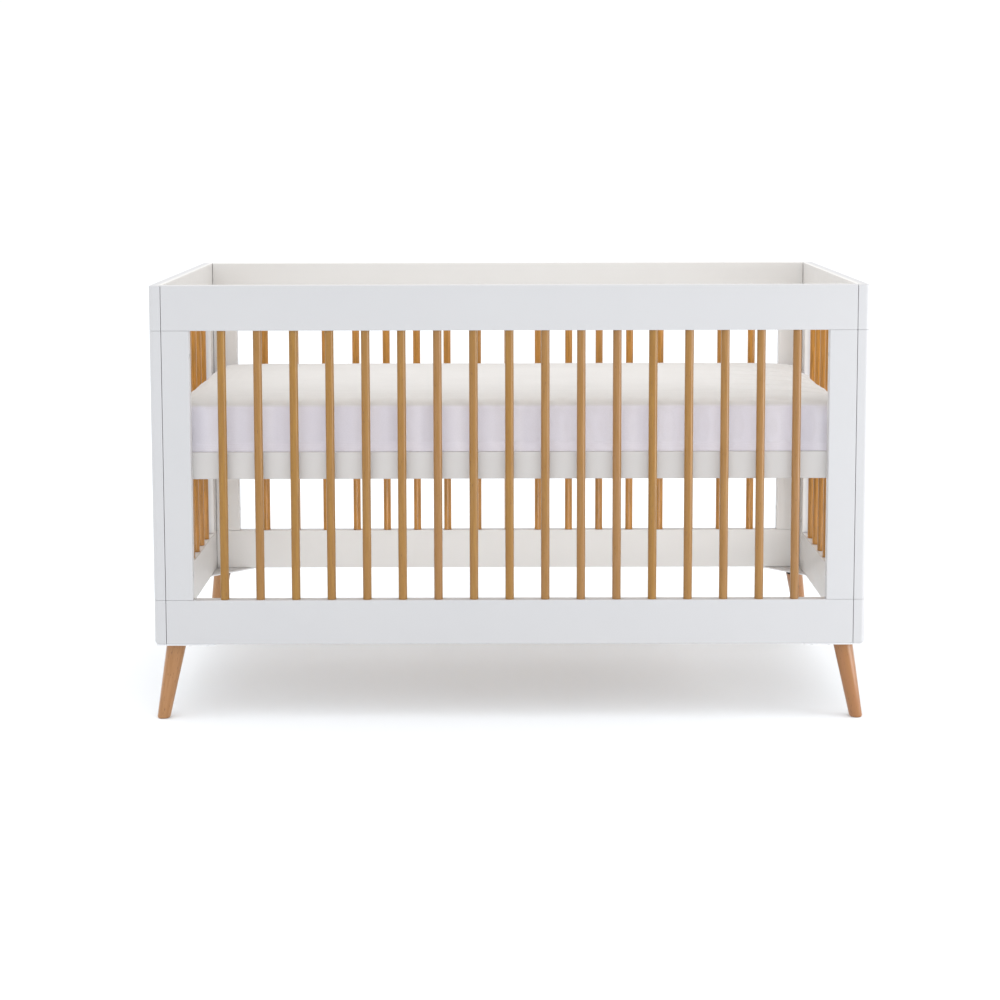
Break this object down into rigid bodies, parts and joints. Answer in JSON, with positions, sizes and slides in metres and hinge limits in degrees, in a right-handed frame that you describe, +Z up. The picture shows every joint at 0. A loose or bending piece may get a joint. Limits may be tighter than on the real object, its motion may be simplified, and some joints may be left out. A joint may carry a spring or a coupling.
{
  "type": "baby crib",
  "caption": "Rectangular crib with painted panels, round wooden spindles on all sides, splayed tapered legs and a slatted height-adjustable base with mattress.",
  "frame": {"origin": "on the floor, under the middle of the crib", "axes": "+X along the crib's length, +Z up, the front panel faces -Y"},
  "size_m": [1.47, 0.77, 0.903],
  "materials": {
    "white_paint": "satin white paint on solid wood and board",
    "spindle_wood": "clear-lacquered honey-coloured wood",
    "leg_wood": "clear-lacquered beech",
    "slat_wood": "planed bare pine",
    "white_metal": "white powder coat on steel plate",
    "zinc_steel": "zinc-plated steel",
    "mattress_cover": "off-white woven cover over foam"
  },
  "bodies": {
    "frame": {"front_top_rail": "white_paint", "front_bottom_rail": "white_paint", "front_left_stile": "white_paint", "front_right_stile": "white_paint", "back_top_rail": "white_paint", "back_bottom_rail": "white_paint", "back_left_stile": "white_paint", "back_right_stile": "white_paint", "left_top_rail": "white_paint", "left_bottom_rail": "white_paint", "left_front_post": "white_paint", "left_back_post": "white_paint", "right_top_rail": "white_paint", "right_bottom_rail": "white_paint", "right_front_post": "white_paint", "right_back_post": "white_paint", "front_spindles": "spindle_wood", "back_spindles": "spindle_wood", "left_spindles": "spindle_wood", "right_spindles": "spindle_wood", "front_left_corner_plate": "white_metal", "front_right_corner_plate": "white_metal", "back_left_corner_plate": "white_metal", "back_right_corner_plate": "white_metal", "front_left_leg": "leg_wood", "front_right_leg": "leg_wood", "back_left_leg": "leg_wood", "back_right_leg": "leg_wood", "front_left_leg_stud": "zinc_steel", "front_right_leg_stud": "zinc_steel", "back_left_leg_stud": "zinc_steel", "back_right_leg_stud": "zinc_steel", "front_left_lower_panel_bolt": "zinc_steel", "front_left_upper_panel_bolt": "zinc_steel", "front_right_lower_panel_bolt": "zinc_steel", "front_right_upper_panel_bolt": "zinc_steel", "back_left_lower_panel_bolt": "zinc_steel", "back_left_upper_panel_bolt": "zinc_steel", "back_right_lower_panel_bolt": "zinc_steel", "back_right_upper_panel_bolt": "zinc_steel"},
    "base": {"base_front_rail": "white_paint", "base_back_rail": "white_paint", "base_left_rail": "white_paint", "base_right_rail": "white_paint", "slat_01": "slat_wood", "slat_02": "slat_wood", "slat_03": "slat_wood", "slat_04": "slat_wood", "slat_05": "slat_wood", "slat_06": "slat_wood", "slat_07": "slat_wood", "slat_08": "slat_wood", "slat_09": "slat_wood", "slat_10": "slat_wood", "slat_11": "slat_wood", "base_front_left_bolt": "zinc_steel", "base_front_right_bolt": "zinc_steel", "base_back_left_bolt": "zinc_steel", "base_back_right_bolt": "zinc_steel"},
    "mattress": {"mattress": "mattress_cover"}
  },
  "joints": [
    {"name": "base_height", "type": "slide", "parent": "frame", "child": "base", "axis": [0, 0, 1], "range_m": [-0.255, 0]},
    {"name": "mattress_lift", "type": "slide", "parent": "base", "child": "mattress", "axis": [0, 0, 1], "range_m": [0, 0.4]}
  ]
}
